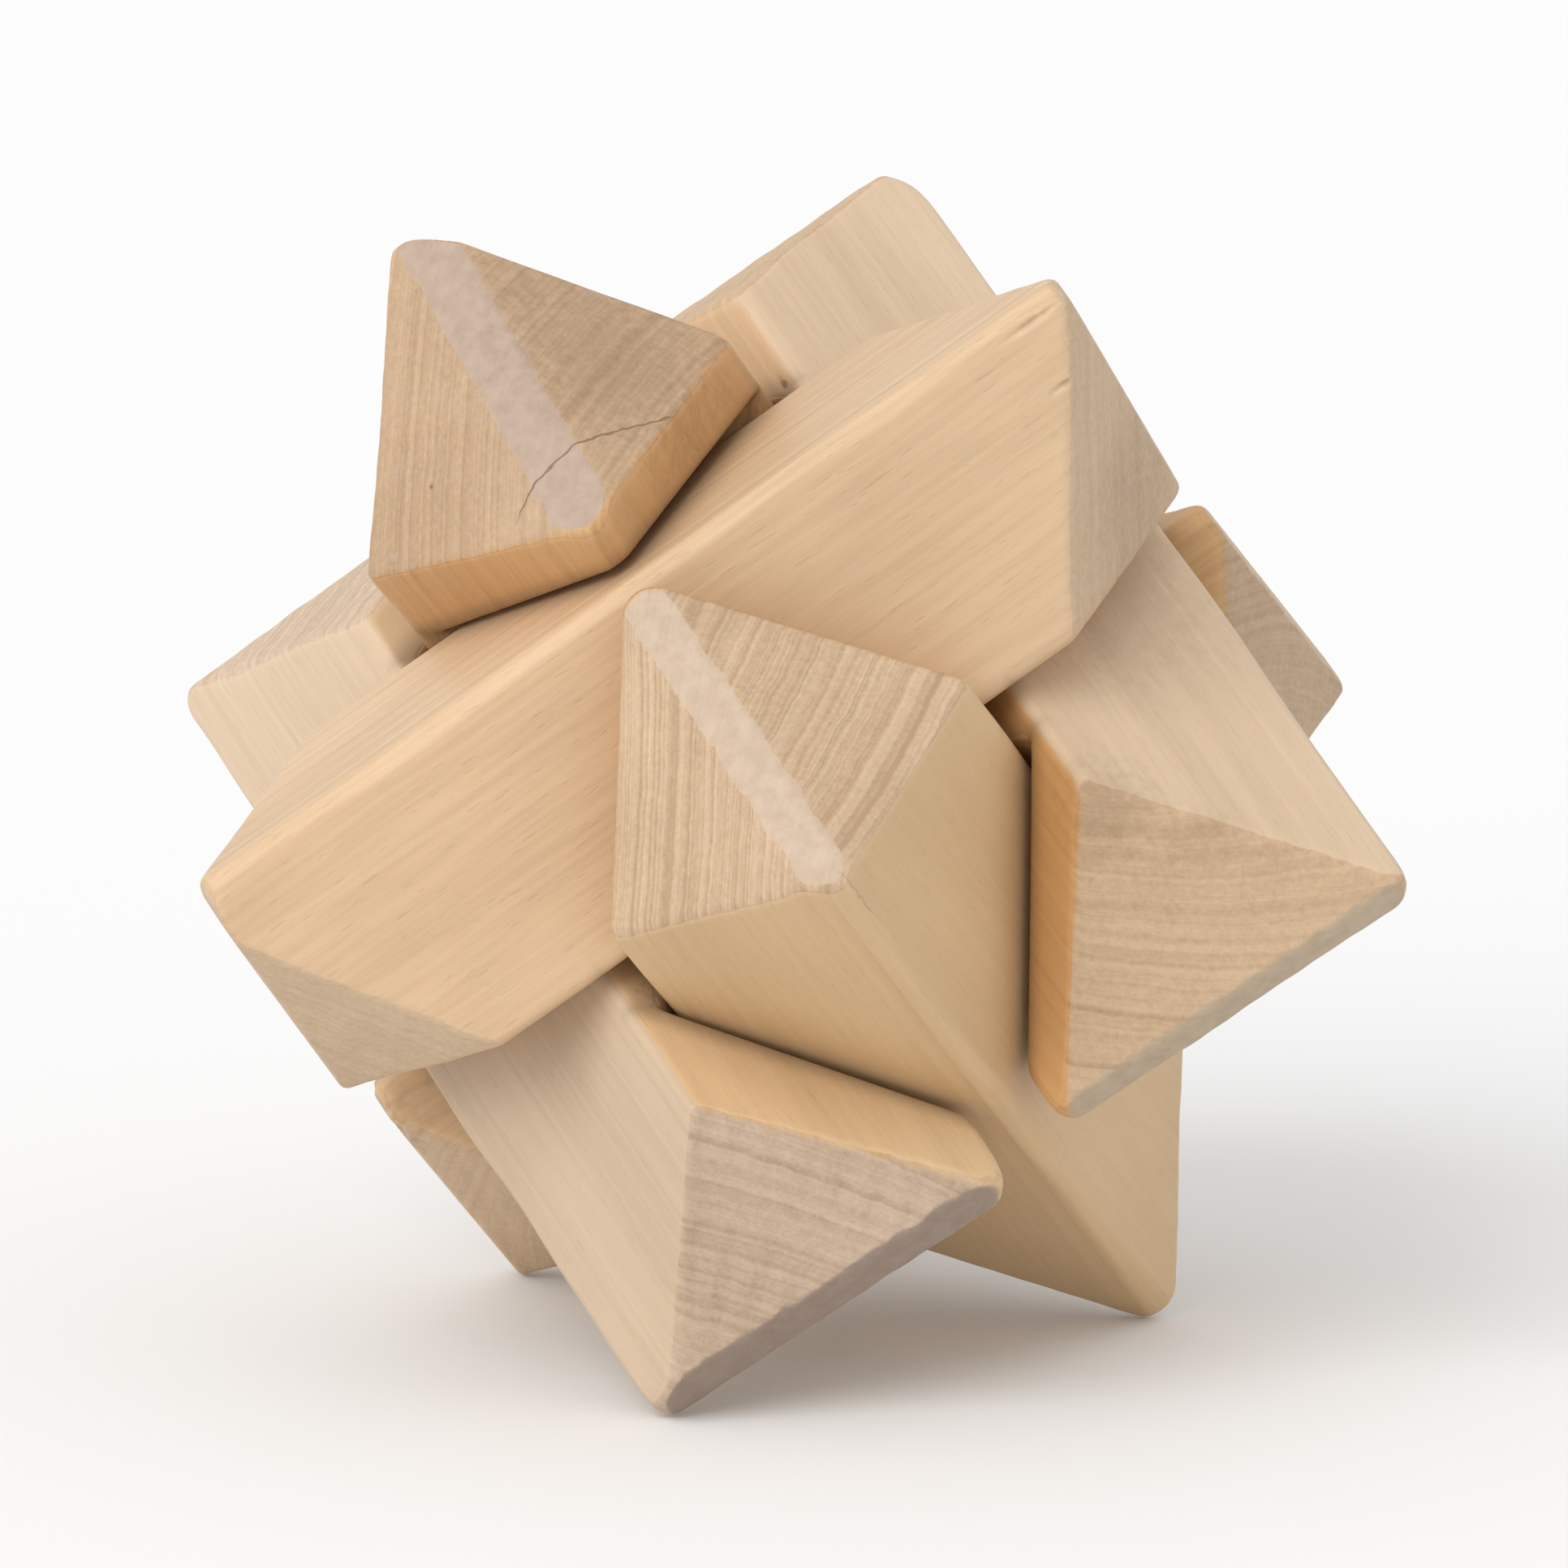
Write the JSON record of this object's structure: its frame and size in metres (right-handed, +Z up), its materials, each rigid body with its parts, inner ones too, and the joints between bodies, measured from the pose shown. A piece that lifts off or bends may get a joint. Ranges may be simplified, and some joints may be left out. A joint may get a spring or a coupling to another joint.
{
  "type": "wooden burr puzzle",
  "caption": "Star-shaped interlocking puzzle of notched square wooden sticks with roof-cut ends, which slide apart together along the axes of a cube.",
  "frame": {"origin": "on the surface that the star stands on, under its middle and midway between the three tips that it rests on", "axes": "+Z up along the cube diagonal that the star stands on; -Y to the front, where upper_front_stick leans out; +X to the right"},
  "size_m": [0.08, 0.0712, 0.0659],
  "materials": {
    "pale_wood": "bare sanded"
  },
  "bodies": {
    "lower_left": {"lower_left_stick": "pale_wood"},
    "lower_right": {"lower_right_stick": "pale_wood"},
    "lower_back": {"lower_back_stick": "pale_wood"},
    "upper_left": {"upper_left_stick": "pale_wood"},
    "upper_right": {"upper_right_stick": "pale_wood"},
    "upper_front": {"upper_front_stick": "pale_wood"}
  },
  "joints": [
    {"name": "spread", "type": "slide", "parent": "lower_left", "child": "lower_right", "axis": [1, 0, 0], "range_m": [0, 0.017]},
    {"name": "back_slide", "type": "slide", "parent": "lower_left", "child": "lower_back", "axis": [0.5, 0.866, 0], "range_m": [0, 0.017]},
    {"name": "left_slide", "type": "slide", "parent": "lower_left", "child": "upper_left", "axis": [0, 0.5774, 0.8165], "range_m": [0, 0.017]},
    {"name": "front_slide", "type": "slide", "parent": "lower_left", "child": "upper_front", "axis": [0.5, -0.2887, 0.8165], "range_m": [0, 0.017]},
    {"name": "right_slide", "type": "slide", "parent": "lower_left", "child": "upper_right", "axis": [0.7071, 0.4082, 0.5774], "range_m": [0, 0.02405]}
  ],
  "couplings": [
    {"joint": "back_slide", "follows": "spread", "ratio": 1},
    {"joint": "left_slide", "follows": "spread", "ratio": 1},
    {"joint": "front_slide", "follows": "spread", "ratio": 1},
    {"joint": "right_slide", "follows": "spread", "ratio": 1.4142}
  ]
}
